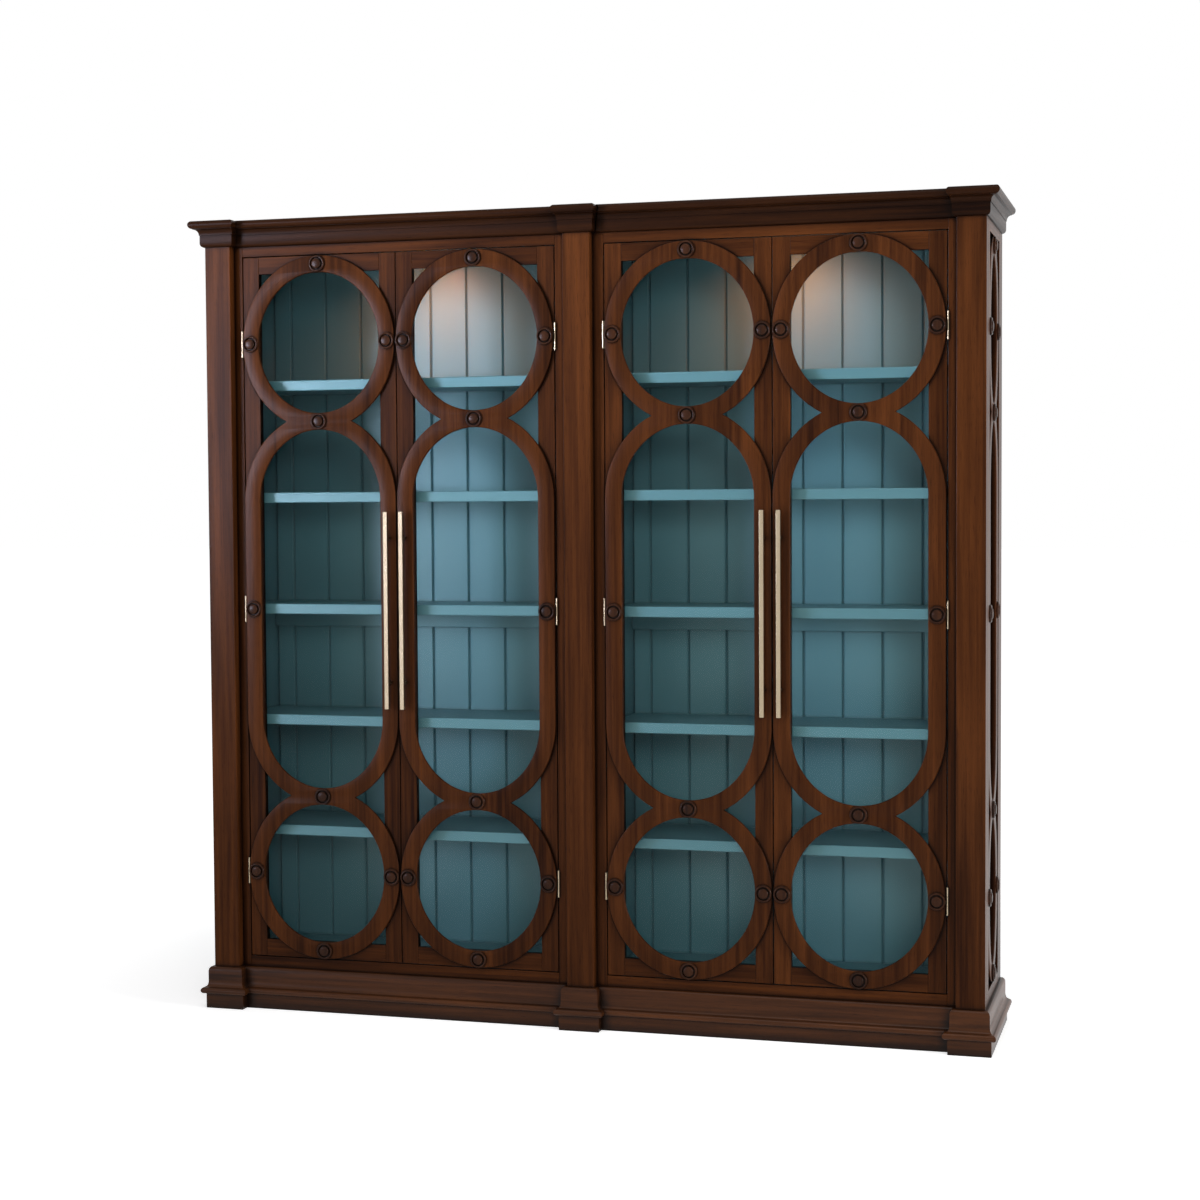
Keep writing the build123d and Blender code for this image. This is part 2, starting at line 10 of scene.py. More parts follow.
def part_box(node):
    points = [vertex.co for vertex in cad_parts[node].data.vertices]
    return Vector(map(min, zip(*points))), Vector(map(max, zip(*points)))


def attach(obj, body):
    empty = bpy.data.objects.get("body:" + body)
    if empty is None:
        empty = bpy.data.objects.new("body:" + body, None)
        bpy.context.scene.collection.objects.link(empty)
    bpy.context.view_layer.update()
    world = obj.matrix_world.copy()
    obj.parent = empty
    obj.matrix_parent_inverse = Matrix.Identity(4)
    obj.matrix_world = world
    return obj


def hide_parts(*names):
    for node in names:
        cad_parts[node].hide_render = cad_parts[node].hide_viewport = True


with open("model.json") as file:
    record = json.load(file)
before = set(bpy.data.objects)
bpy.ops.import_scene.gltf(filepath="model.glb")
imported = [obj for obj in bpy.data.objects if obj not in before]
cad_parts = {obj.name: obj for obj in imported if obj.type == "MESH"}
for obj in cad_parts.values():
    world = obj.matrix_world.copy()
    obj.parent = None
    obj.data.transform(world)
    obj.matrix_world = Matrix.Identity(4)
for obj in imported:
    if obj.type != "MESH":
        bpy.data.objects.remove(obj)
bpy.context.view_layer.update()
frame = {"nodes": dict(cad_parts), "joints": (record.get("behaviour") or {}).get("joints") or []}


# --- Room ------------------------------------------------------------------------------
# A white studio: a pale floor, an even white surround, a cool soft lamp at the left, a
# strong one off the right end and one overhead. Three more, which no mirror shows, fill
# the front, the right front and the undersides.

WHITE = (1, 1, 1, 1)
SURROUND = 0.2            # brightness of the even light
FLOOR_REACH = 60          # half its side, so that its edge is out of sight
FLOOR_WHITE = (0.9, 0.9, 0.9, 1)
LIFT_NEAR = 0.6           # what takes the open floor to plain white, by the case
LIFT_FAR = 0.9            # and out of its reach
LIFT_START = 1            # how far from the middle that change begins
LIFT_END = 2.8

CAMERA_PLACE = (1.7122, -5.9412, 1.4801)
CAMERA_TURN = 0.27916     # to the left, radians
CAMERA_TILT = -0.04527
CAMERA_ROLL = 0.00595
CAMERA_LENS = 64.73
CAMERA_FRAME = 36         # mm across


def seen_rays(tree):
    """1 for the rays of the camera, of mirrors and of glass, 0 for those that carry light."""
    rays = tree.nodes.new("ShaderNodeLightPath")
    found = rays.outputs["Is Camera Ray"]
    for kind in ("Is Glossy Ray", "Is Transmission Ray"):
        either = tree.nodes.new("ShaderNodeMath")
        either.operation = "MAXIMUM"
        tree.links.new(found, either.inputs[0])
        tree.links.new(rays.outputs[kind], either.inputs[1])
        found = either.outputs[0]
    return found


def object_place(tree):
    """Where a point lies, in its object's own coordinates."""
    return tree.nodes.new("ShaderNodeTexCoord").outputs["Object"]


def add_range(tree, value, low, high, start=0, end=1, soft=False):
    """Turns a value that runs from start to end into one that runs from low to high."""
    span = tree.nodes.new("ShaderNodeMapRange")
    span.interpolation_type = "SMOOTHSTEP" if soft else "LINEAR"
    span.inputs["From Min"].default_value = start
    span.inputs["From Max"].default_value = end
    span.inputs["To Min"].default_value = low
    span.inputs["To Max"].default_value = high
    tree.links.new(value, span.inputs["Value"])
    return span.outputs["Result"]


def light_surround():
    """Even light on the object, and plain white for the camera, mirrors and glass."""
    world = bpy.data.worlds.new("studio")
    bpy.context.scene.world = world
    world.use_nodes = True
    tree = world.node_tree
    even = tree.nodes["Background"]
    seen = tree.nodes.new("ShaderNodeBackground")
    for light, strength in ((even, SURROUND), (seen, 1)):
        light.inputs["Color"].default_value = WHITE
        light.inputs["Strength"].default_value = strength
    choose = tree.nodes.new("ShaderNodeMixShader")
    tree.links.new(seen_rays(tree), choose.inputs[0])
    tree.links.new(even.outputs[0], choose.inputs[1])
    tree.links.new(seen.outputs[0], choose.inputs[2])
    tree.links.new(choose.outputs[0], tree.nodes["World Output"].inputs["Surface"])


def studio_white():
    """Flat white paint, lifted to plain white where it is seen away from the case."""
    white = bpy.data.materials.new("studio_white")
    white.use_nodes = True
    tree = white.node_tree
    tree.nodes.remove(tree.nodes["Principled BSDF"])
    paint = tree.nodes.new("ShaderNodeBsdfDiffuse")
    paint.inputs["Color"].default_value = FLOOR_WHITE
    far = tree.nodes.new("ShaderNodeVectorMath")
    far.operation = "LENGTH"
    tree.links.new(object_place(tree), far.inputs[0])
    lift = add_range(tree, far.outputs["Value"], LIFT_NEAR, LIFT_FAR, LIFT_START, LIFT_END, soft=True)
    amount = tree.nodes.new("ShaderNodeMath")
    amount.operation = "MULTIPLY"
    tree.links.new(lift, amount.inputs[0])
    tree.links.new(seen_rays(tree), amount.inputs[1])
    shine = tree.nodes.new("ShaderNodeEmission")
    shine.inputs["Color"].default_value = WHITE
    tree.links.new(amount.outputs[0], shine.inputs["Strength"])
    both = tree.nodes.new("ShaderNodeAddShader")
    tree.links.new(paint.outputs[0], both.inputs[0])
    tree.links.new(shine.outputs[0], both.inputs[1])
    tree.links.new(both.outputs[0], tree.nodes["Material Output"].inputs["Surface"])
    return white


def lay_floor():
    """A flat floor that belongs to the room and not to the object."""
    corners = [(x * FLOOR_REACH, y * FLOOR_REACH, 0) for x, y in ((-1, -1), (1, -1), (1, 1), (-1, 1))]
    mesh = bpy.data.meshes.new("studio_floor")
    mesh.from_pydata(corners, [], [(0, 1, 2, 3)])
    mesh.materials.append(studio_white())
    floor = bpy.data.objects.new("studio_floor", mesh)
    bpy.context.collection.objects.link(floor)


def hang_lamp(name, place, aim, size, power, spread=180, colour=(1, 1, 1), unseen=False):
    """A soft box that faces its aim; spread is in degrees, and mirrors skip an unseen one."""
    lamp = bpy.data.lights.new(name, "AREA")
    lamp.shape = "RECTANGLE"
    lamp.size, lamp.size_y = size
    lamp.energy = power
    lamp.spread = math.radians(spread)
    lamp.color = colour
    holder = bpy.data.objects.new(name, lamp)
    holder.location = place
    holder.rotation_euler = (Vector(place) - Vector(aim)).to_track_quat("Z", "Y").to_euler()
    holder.visible_camera = holder.visible_glossy = not unseen
    bpy.context.collection.objects.link(holder)


def stand_camera():
    """A camera that looks to the rear, then turned, tilted and rolled a little."""
    lens = bpy.data.cameras.new("camera")
    lens.lens = CAMERA_LENS
    lens.sensor_width = CAMERA_FRAME
    camera = bpy.data.objects.new("camera", lens)
    aim = Matrix.Rotation(CAMERA_TURN, 4, "Z") @ Matrix.Rotation(CAMERA_TILT, 4, "X")
    level = Matrix.Rotation(CAMERA_ROLL, 4, "Y") @ Matrix.Rotation(math.pi / 2, 4, "X")
    camera.matrix_world = Matrix.Translation(CAMERA_PLACE) @ aim @ level
    bpy.context.collection.objects.link(camera)
    bpy.context.scene.camera = camera


light_surround()
lay_floor()
hang_lamp("key_lamp", place=(-4.8, -5.2, 2.3), aim=(-0.9, -0.2, 2.75), size=(2, 2.4), power=51,
          spread=42, colour=(0.76, 0.79, 1))
hang_lamp("top_lamp", place=(0.2, -2.6, 5.4), aim=(0.2, -2, 0), size=(3, 3), power=60)
hang_lamp("front_lamp", place=(0.6, -8, 4), aim=(0, 0, 1), size=(4, 3), power=33, unseen=True)
hang_lamp("near_lamp", place=(2.8, -6.8, 2.8), aim=(1, 0, 0.8), size=(2, 1.6), power=14,
          spread=58, unseen=True)
hang_lamp("floor_bounce", place=(0.2, -2, 0.03), aim=(0.2, -1.2, 2), size=(4.4, 2.4), power=18,
          unseen=True)
hang_lamp("fill_lamp", place=(5.5, -1.5, 1.6), aim=(1.2, 0, 1), size=(1.6, 1.6), power=170)
stand_camera()
bpy.context.scene.view_settings.view_transform = "Standard"


# --- Case boards -----------------------------------------------------------------------
# The inside of each cabinet: side boards, floor and ceiling, sawn from flat board and
# brushed with blue-green eggshell paint. Every board keeps the run of its own grain.

HANDS = ("left", "right")
EASE = 0.0012             # the sanded round on a board's edges
THIN_SHARE = 0.3          # the most of a thin board that such a round takes
CASE_PAINT = (0.117, 0.25, 0.29, 1)
CASE_PAINT_DEEP = (0.098, 0.215, 0.253, 1)
# The colour of the painted shade in the paint's corners and grooves.
PAINT_RECESS_SHADE = (0.03, 0.062, 0.08, 1)
LOG = 20                  # how far apart two boards' grain may start

chance = random.Random(11)


def order_along(along):
    """The axes of a board, its length first."""
    return {"X": (0, 1, 2), "Y": (1, 0, 2), "Z": (2, 0, 1)}[along]


def spot_in_log():
    """A random spot, so that no two pieces show the same grain."""
    return Vector([chance.uniform(-LOG, LOG) for _ in range(3)])


def mark_grain(verts, layer, along):
    """Writes each point's place along and across the timber, from a random spot in the log."""
    axes = order_along(along)
    shift = spot_in_log()
    for vert in verts:
        vert[layer] = Vector([vert.co[axis] for axis in axes]) + shift


def add_board(work, layer, low, high, along, ease=EASE):
    """One board with eased edges, between two corners."""
    earlier = set(work.verts)
    size = [high[axis] - low[axis] for axis in range(3)]
    centre = [(high[axis] + low[axis]) / 2 for axis in range(3)]
    cut = Matrix.Translation(centre) @ Matrix.Diagonal((*size, 1))
    made = bmesh.ops.create_cube(work, size=1, matrix=cut)["verts"]
    edges = {edge for vert in made for edge in vert.link_edges}
    ease = min(ease, THIN_SHARE * min(size))
    bmesh.ops.bevel(work, geom=list(edges), offset=ease, segments=2, profile=0.5, affect="EDGES")
    mark_grain([vert for vert in work.verts if vert not in earlier], layer, along)


def new_work():
    """An empty mesh to build in, with room to mark the grain."""
    work = bmesh.new()
    return work, work.verts.layers.float_vector.new("grain")


def finish_piece(name, work, finish, body, nodes, smooth=None):
    """Turns the worked mesh into a piece that rides on its body and stands for its nodes."""
    mesh = bpy.data.meshes.new(name)
    work.to_mesh(mesh)
    work.free()
    if smooth is not None:
        mesh.shade_smooth()
        mesh.set_sharp_from_angle(angle=math.radians(smooth))
    mesh.materials.append(finish)
    piece = bpy.data.objects.new(name, mesh)
    bpy.context.collection.objects.link(piece)
    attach(piece, body)
    if nodes:
        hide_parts(*nodes)


def join_boards(name, boards, finish, body, nodes, ease=EASE):
    """Several boards as one piece; each is (low corner, high corner, way of the grain)."""
    work, layer = new_work()
    for low, high, along in boards:
        add_board(work, layer, low, high, along, ease)
    finish_piece(name, work, finish, body, nodes)


def new_finish(name):
    """A new material, its node tree and its main shader."""
    finish = bpy.data.materials.new(name)
    finish.use_nodes = True
    return finish, finish.node_tree, finish.node_tree.nodes["Principled BSDF"]


def grain_place(tree):
    """Where a point lies along and across its own piece of timber."""
    place = tree.nodes.new("ShaderNodeAttribute")
    place.attribute_name = "grain"
    return place.outputs["Vector"]


def add_noise(tree, place, scale, detail, wobble=0):
    """Soft noise; a scale of three numbers draws it out along an axis."""
    noise = tree.nodes.new("ShaderNodeTexNoise")
    if isinstance(scale, tuple):
        drag = tree.nodes.new("ShaderNodeMapping")
        drag.inputs["Scale"].default_value = scale
        tree.links.new(place, drag.inputs["Vector"])
        place, scale = drag.outputs["Vector"], 1
    noise.inputs["Scale"].default_value = scale
    noise.inputs["Detail"].default_value = detail
    noise.inputs["Distortion"].default_value = wobble
    tree.links.new(place, noise.inputs["Vector"])
    return noise.outputs["Fac"]


def add_blend(tree, amount, none, full):
    """Goes from one colour to another; the first may be a node's output."""
    blend = tree.nodes.new("ShaderNodeMix")
    blend.data_type = "RGBA"
    tree.links.new(amount, blend.inputs["Factor"])
    if isinstance(none, tuple):
        blend.inputs["A"].default_value = none
    else:
        tree.links.new(none, blend.inputs["A"])
    blend.inputs["B"].default_value = full
    return blend.outputs["Result"]


def add_relief(tree, height, strength, depth, sunk=False):
    """Fine relief in a surface, raised or sunk."""
    relief = tree.nodes.new("ShaderNodeBump")
    relief.invert = sunk
    relief.inputs["Strength"].default_value = strength
    relief.inputs["Distance"].default_value = depth
    tree.links.new(height, relief.inputs["Height"])
    return relief.outputs["Normal"]


def recess_mask(tree, reach, fullest):
    """Where painted shade goes: 0 out in the open, rising to fullest in corners, grooves and recesses."""
    corner = tree.nodes.new("ShaderNodeAmbientOcclusion")
    corner.samples = 6
    corner.inputs["Distance"].default_value = reach
    return add_range(tree, corner.outputs["AO"], fullest, 0, start=0.57, end=0.97, soft=True)


def brushed_paint(name):
    """Eggshell paint: long faint brush marks with the grain, a little uneven in depth, and painted shade in
    its corners and grooves.
    """
    paint, tree, shader = new_finish(name)
    place = grain_place(tree)
    marks = add_noise(tree, place, scale=(5, 420, 420), detail=3)
    cloud = add_noise(tree, place, scale=2.6, detail=3)
    tint = add_blend(tree, cloud, CASE_PAINT, CASE_PAINT_DEEP)
    # Painted shade: the paint darkens into corners and grooves, where nearby boards close in.
    shaded_paint = add_blend(tree, recess_mask(tree, reach=0.01, fullest=0.42), tint, PAINT_RECESS_SHADE)
    tree.links.new(shaded_paint, shader.inputs["Base Color"])
    tree.links.new(add_range(tree, marks, low=0.28, high=0.44), shader.inputs["Roughness"])
    tree.links.new(add_relief(tree, marks, strength=0.12, depth=0.0004), shader.inputs["Normal"])
    return paint


case_paint = brushed_paint("case_paint")

for hand in HANDS:
    for part, along in (("end_liner", "Z"), ("inner_side", "Z"), ("top_board", "X"), ("bottom_board", "X")):
        node = f"{hand}_{part}"
        board = (*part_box(node), along)
        join_boards(f"{node}_painted", [board], case_paint, "carcass", [node])


# --- Back boards -----------------------------------------------------------------------
# Matched boards with a V at every joint, set upright between floor and ceiling and nailed
# to two cleats behind. The face is painted like the rest of the inside.

BACK_BOARD = 0.012
BACK_WIDE = 0.114
BACK_JOINTS = 9           # counted from the outer side, where half a board stands
BACK_V = 0.005
BACK_SLIT = 0.0004
CLEAT_HIGH = 0.06


def join_rings(work, near, far):
    """A band of faces between two closed rings of points."""
    for index in range(len(near)):
        after = (index + 1) % len(near)
        work.faces.new((near[index], near[after], far[after], far[index]))


def add_matched_board(work, layer, x_left, x_right, front, bottom, top):
    """An upright board whose two front corners are planed off, so that joints show a V."""
    rear = front + BACK_BOARD
    outline = [
        (x_left, rear), (x_right, rear), (x_right, front + BACK_V),
        (x_right - BACK_V, front), (x_left + BACK_V, front), (x_left, front + BACK_V),
    ]
    feet = [work.verts.new((x, y, bottom)) for x, y in outline]
    heads = [work.verts.new((x, y, top)) for x, y in outline]
    work.faces.new(list(reversed(feet)))
    work.faces.new(heads)
    join_rings(work, feet, heads)
    mark_grain(feet + heads, layer, "Z")


for hand in HANDS:
    node = f"{hand}_back_boards"
    (x_low, front, bottom), (x_high, cleat_rear, top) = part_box(node)
    outer, inner, step = (x_low, x_high, BACK_WIDE) if hand == "left" else (x_high, x_low, -BACK_WIDE)
    joints = [outer] + [outer + (number + 0.5) * step for number in range(BACK_JOINTS)] + [inner]
    work, layer = new_work()
    for near, far in zip(joints, joints[1:]):
        left, right = sorted((near, far))
        add_matched_board(work, layer, left + BACK_SLIT / 2, right - BACK_SLIT / 2, front, bottom, top)
    cleat_front = front + BACK_BOARD
    for low in (bottom, top - CLEAT_HIGH):
        add_board(work, layer, (x_low, cleat_front, low), (x_high, cleat_rear, low + CLEAT_HIGH), "X")
    bmesh.ops.recalc_face_normals(work, faces=work.faces[:])
    finish_piece(f"{node}_painted", work, case_paint, "carcass", [node])


# --- Face frames -----------------------------------------------------------------------
# Solid walnut stiles and rails round each pair of doors, stained dark and finished with
# satin lacquer. The stiles run the whole height; the rails are tenoned between them.

WALNUT_STAIN = ((0.086, 0.0258, 0.0066, 1), (0.0145, 0.0043, 0.0017, 1))   # light and dark figure
WALNUT_PORE = (0.006, 0.0025, 0.0014, 1)
WALNUT_RECESS_SHADE = (0.005, 0.002, 0.0011, 1)      # painted shade, laid dark into corners and recesses
RECESS = 0.034            # how far the painted shade reaches out of a corner
NARROW_RECESS = 0.016     # the same beside the pilasters
DOORS = ("door_1", "door_2", "door_3", "door_4")
DOOR_GAP = 0.0025


def satin_walnut(name, stain=WALNUT_STAIN, recess=RECESS, polish=0.04):
    """Dark stained walnut: slow figure, long streaks, fine open pores, a satin coat, and painted shade
    darkening its corners and recesses.
    """
    timber, tree, shader = new_finish(name)
    shader.inputs["Specular IOR Level"].default_value = polish
    place = grain_place(tree)
    figure = add_noise(tree, place, scale=(0.8, 9, 9), detail=4, wobble=1.2)
    streaks = add_noise(tree, place, scale=(2.4, 95, 95), detail=5, wobble=0.4)
    pores = add_noise(tree, place, scale=(26, 900, 900), detail=2)

    together = tree.nodes.new("ShaderNodeMix")
    together.data_type = "FLOAT"
    together.inputs["Factor"].default_value = 0.45
    tree.links.new(figure, together.inputs["A"])
    tree.links.new(streaks, together.inputs["B"])
    contrast = add_range(tree, together.outputs["Result"], low=0, high=1, start=0.34, end=0.66)
    light, dark = stain
    stained = add_blend(tree, contrast, dark, light)
    open_pores = add_range(tree, pores, low=0, high=0.75, start=0.6, end=0.72)
    filled = add_blend(tree, open_pores, stained, WALNUT_PORE)
    # Painted shade: darker where nearby parts hem the surface in.
    shaded_walnut = add_blend(tree, recess_mask(tree, recess, fullest=0.96), filled, WALNUT_RECESS_SHADE)
    tree.links.new(shaded_walnut, shader.inputs["Base Color"])
    tree.links.new(add_range(tree, streaks, low=0.36, high=0.24), shader.inputs["Roughness"])
    sunk = add_relief(tree, pores, strength=0.18, depth=0.0003, sunk=True)
    tree.links.new(sunk, shader.inputs["Normal"])
    return timber


face_walnut = satin_walnut("face_walnut", recess=NARROW_RECESS)

for hand, doors in zip(HANDS, (DOORS[:2], DOORS[2:])):
    node = f"{hand}_face_frame"
    (x_low, front, floor), (x_high, rear, top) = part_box(node)
    (left_edge, _, doors_foot), (_, _, doors_head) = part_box(f"{doors[0]}_frame")
    right_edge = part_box(f"{doors[1]}_frame")[1][0]
    open_left, open_right = left_edge - DOOR_GAP, right_edge + DOOR_GAP
    sill, lintel = doors_foot - DOOR_GAP, doors_head + DOOR_GAP
    boards = [
        ((x_low, front, floor), (open_left, rear, top), "Z"),
        ((open_right, front, floor), (x_high, rear, top), "Z"),
        ((open_left, front, floor), (open_right, rear, sill), "X"),
        ((open_left, front, lintel), (open_right, rear, top), "X"),
    ]
    join_boards(f"{node}_walnut", boards, face_walnut, "carcass", [node])


# --- Panelled ends ---------------------------------------------------------------------
# The outside of each end: two stiles, two rails and a thin panel let into them, all in
# the same walnut as the front.

PANEL = 0.008
FRET_SLIT = 0.0003
END_EASE = 0.0015

walnut = satin_walnut("walnut")
door_low, door_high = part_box("door_1_frame")

for hand in HANDS:
    node = f"{hand}_end_frame"
    (x_low, front, floor), (x_high, rear, top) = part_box(node)
    fret_low, fret_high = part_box(f"{hand}_end_fretwork")
    y_open = (fret_low[1] - FRET_SLIT, fret_high[1] + FRET_SLIT)
    z_open = (door_low[2], door_high[2])
    panel_x = (x_high - PANEL, x_high) if hand == "left" else (x_low, x_low + PANEL)
    boards = [
        ((x_low, front, floor), (x_high, y_open[0], top), "Z"),
        ((x_low, y_open[1], floor), (x_high, rear, top), "Z"),
        ((x_low, y_open[0], floor), (x_high, y_open[1], z_open[0]), "Y"),
        ((x_low, y_open[0], z_open[1]), (x_high, y_open[1], top), "Y"),
        ((panel_x[0], y_open[0], z_open[0]), (panel_x[1], y_open[1], z_open[1]), "Z"),
    ]
    join_boards(f"{node}_walnut", boards, walnut, "carcass", [node], ease=END_EASE)


# --- Pilasters -------------------------------------------------------------------------
# Three plain walnut posts planted on the face frames, with their two front arrises
# planed to a small flat that catches the light.

ARRIS = 0.0022
POST_STAIN = ((0.093, 0.0285, 0.0074, 1), (0.0205, 0.006, 0.002, 1))

post_walnut = satin_walnut("post_walnut", POST_STAIN, NARROW_RECESS)
for post in ("left_pilaster", "middle_pilaster", "right_pilaster"):
    board = (*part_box(post), "Z")
    join_boards(f"{post}_walnut", [board], post_walnut, "carcass", [post], ease=ARRIS)


# --- Base moulding ---------------------------------------------------------------------
# A plinth, a half-round, a hollow and a rounded cap run along the foot of the case and
# break forward round the pilasters. Lengths of stuck moulding, mitred at the corners.

BASE_TOP = 0.122
BASE_SLIT = 0.0005        # between the two lengths that meet beside the middle post
# Painted light: the base is the same walnut as the rest, drawn lighter at the foot of the case.
BASE_LIT_WALNUT = ((0.095, 0.0305, 0.0088, 1), (0.018, 0.0058, 0.0021, 1))
MOULDING_SMOOTH = 28      # degrees, under which an edge is part of a curve
GRAIN_DRIFT = 0.02        # how slowly the figure wanders along the run


def arc(centre, radius, start, end, steps):
    """Points of a quarter or half round, angles in degrees."""
    turns = [math.radians(start + (end - start) * step / steps) for step in range(steps + 1)]
    across, up = centre
    return [(across + radius[0] * math.cos(turn), up + radius[1] * math.sin(turn)) for turn in turns]


def base_profile():
    """Out from the case and up from the floor, starting and ending against the case."""
    plinth = [(0, 0), (0.0178, 0), (0.019, 0.0012), (0.019, 0.0418), (0.0178, 0.043), (0.0215, 0.0432)]
    half_round = arc((0.0225, 0.0525), (0.0095, 0.0093), -85, 85, 14)
    hollow = arc((0.0225, 0.079), (0.0085, 0.0165), 262, 182, 8)
    die = [(0.014, 0.08), (0.014, 0.1096)]
    cap = arc((0.003, 0.1105), (0.0105, 0.0115), 4, 88, 9)
    return plinth + half_round + hollow + die + cap + [(0, BASE_TOP)]


def run_moulding(work, layer, path, profiles, level, set_back=None):
    """Sweeps a profile along an axis-aligned plan path, mitred at each corner. Each stretch
    has its own profile, all with as many points; set_back cuts the start off at a slope."""
    ways = [(Vector(b) - Vector(a)).normalized() for a, b in zip(path, path[1:])]
    outs = [Vector((way[1], -way[0])) for way in ways]
    rings = []
    for corner, spot in enumerate(path):
        before, after = max(corner - 1, 0), min(corner, len(ways) - 1)
        ring = []
        for index, (_, up) in enumerate(profiles[0]):
            at = Vector(spot) + outs[after] * profiles[after][index][0]
            if before != after:
                at += outs[before] * profiles[before][index][0]
            if corner == 0 and set_back:
                at += ways[0] * set_back[index]
            ring.append(work.verts.new((at[0], at[1], level + up)))
        rings.append(ring)
    for near, far in zip(rings, rings[1:]):
        join_rings(work, near, far)
    work.faces.new(rings[0])
    work.faces.new(list(reversed(rings[-1])))
    shift = spot_in_log()
    for vert in (vert for ring in rings for vert in ring):
        x, y, z = vert.co
        vert[layer] = Vector((x + y, z, x * GRAIN_DRIFT)) + shift
    bmesh.ops.recalc_face_normals(work, faces=work.faces[:])


def plan_path(hand):
    """The wall line that a moulding follows, from left to right as seen from above."""
    half_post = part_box("middle_pilaster")[1][0]
    outer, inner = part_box("right_pilaster")[1][0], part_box("right_pilaster")[0][0]
    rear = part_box("right_end_frame")[1][1]
    face, post_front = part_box("left_face_frame")[0][1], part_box("left_pilaster")[0][1]
    if hand == "left":
        return [
            (-outer, rear), (-outer, post_front), (-inner, post_front), (-inner, face),
            (-half_post, face), (-half_post, post_front), (half_post, post_front), (half_post, face),
        ]
    return [(half_post, face), (inner, face), (inner, post_front), (outer, post_front), (outer, rear)]


# Drawn lighter than the other walnut, as painted light.
base_walnut = satin_walnut("base_walnut", BASE_LIT_WALNUT, polish=0.13)
for hand in HANDS:
    node = f"{hand}_base_moulding"
    path = plan_path(hand)
    profile = base_profile()
    set_back = None if hand == "left" else [out + BASE_SLIT for out, _ in profile]
    work, layer = new_work()
    run_moulding(work, layer, path, [profile] * (len(path) - 1), 0, set_back)
    finish_piece(f"{node}_walnut", work, base_walnut, "carcass", [node], MOULDING_SMOOTH)


# --- Cornice ---------------------------------------------------------------------------
# A small bed mould, a flat frieze, a cove and a heavy rounded nose, mitred round the
# pilasters; the returns beside the doors stand out less. A dust cover lies behind it.

CORNICE_ABOVE = 0.028     # from the door opening to the foot of the cornice
CORNICE_SLIT = 0.004
# Painted shade: the cornice is the same walnut as the rest, drawn much darker.
CORNICE_SHADED_WALNUT = ((0.033, 0.0108, 0.0034, 1), (0.0064, 0.0021, 0.001, 1))
BED_OUT = 0.011
COVE_SHARE = 0.55         # how far out the cove ends between the bed mould and the nose
COVER_DROP = 0.018
COVER = 0.012


def cornice_profile(nose):
    """Out from the case and up from the foot of the cornice."""
    cove_out = BED_OUT + COVE_SHARE * (nose - BED_OUT)
    bed = [(0.0, 0.0), (0.002, 0.0)] + arc((0.0021, 0.0105), (0.0085, 0.0095), -80, 0, 6)[1:]
    frieze = [(0.0109, 0.0112), (0.0109, 0.034)]
    fillet = [(0.0125, 0.0345), (0.0125, 0.0368)]
    cove = arc((cove_out, 0.0372), (cove_out - 0.0128, 0.0135), 176, 96, 8)
    step = [(cove_out + 0.001, 0.0512), (cove_out + 0.0012, 0.0522)]
    nose_foot = [(nose - 0.0085, 0.0524)]
    bull = arc((nose - 0.0098, 0.0637), (0.0098, 0.0112), -78, 86, 12)
    return bed + frieze + fillet + cove + step + nose_foot + bull + [(0.0, 0.075)]


# Drawn darker than the other walnut, as painted shade.
cornice_walnut = satin_walnut("cornice_walnut", CORNICE_SHADED_WALNUT)
for hand in HANDS:
    node = f"{hand}_cornice"
    (x_low, _, _), (x_high, _, top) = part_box(node)
    path = plan_path(hand)
    nose_out = x_high - path[-1][0] if hand == "right" else path[0][0] - x_low
    inner_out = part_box("left_cornice")[1][0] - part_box("middle_pilaster")[1][0]
    wide, narrow = cornice_profile(nose_out), cornice_profile(inner_out)
    if hand == "left":
        profiles, set_back = [wide, wide, narrow, wide, narrow, wide, narrow], None
    else:
        profiles, set_back = [wide, narrow, wide, wide], [out + CORNICE_SLIT for out, _ in narrow]
    foot = door_high[2] + DOOR_GAP + CORNICE_ABOVE
    work, layer = new_work()
    run_moulding(work, layer, path, profiles, foot, set_back)
    (side_low, front, _), (side_high, rear, _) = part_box(f"{hand}_end_liner")
    (inner_low, _, _), (inner_high, _, _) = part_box(f"{hand}_inner_side")
    cover_low = (min(side_low, inner_low), front, top - COVER_DROP - COVER)
    cover_high = (max(side_high, inner_high), rear, top - COVER_DROP)
    add_board(work, layer, cover_low, cover_high, "X")
    finish_piece(f"{node}_walnut", work, cornice_walnut, "carcass", [node], MOULDING_SMOOTH)


# --- Shelves ---------------------------------------------------------------------------
# Five painted shelves in each cabinet, each a board behind a lip that stands a little
# proud of it. The middle one is fixed and has a rail under its back edge.

LIP = 0.02
LIP_HIGH = 0.03
LIP_STEP = 0.005
LIP_ROUND = 0.0024
SHELF_BOARD = 0.02
RAIL = 0.018

for hand in HANDS:
    for number in range(1, 6):
        node = f"{hand}_shelf_{number}"
        (x_low, front, foot), (x_high, rear, lip_top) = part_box(node)
        lip_foot = lip_top - LIP_HIGH
        board_top = lip_top - LIP_STEP
        board_foot = board_top - SHELF_BOARD
        boards = [
            ((x_low, front, lip_foot), (x_high, front + LIP, lip_top), "X"),
            ((x_low, front + LIP, board_foot), (x_high, rear, board_top), "X"),
        ]
        if foot < lip_foot - LIP_STEP:
            boards.append(((x_low, rear - RAIL, foot), (x_high, rear, board_foot), "X"))
        join_boards(f"{node}_painted", boards, case_paint, "carcass", [node], LIP_ROUND)


# --- Shelf rests -----------------------------------------------------------------------
# Small square blocks of brass, four under each loose shelf, let into the side boards so
# that the shelf lies on their ends. Their shape is the frame's; the metal is set here.

BRASS_LIGHT = (0.445, 0.362, 0.255, 1)
BRASS_DEEP = (0.36, 0.285, 0.185, 1)
SCRATCH_ALONG = 30
SCRATCH_ACROSS = 2200


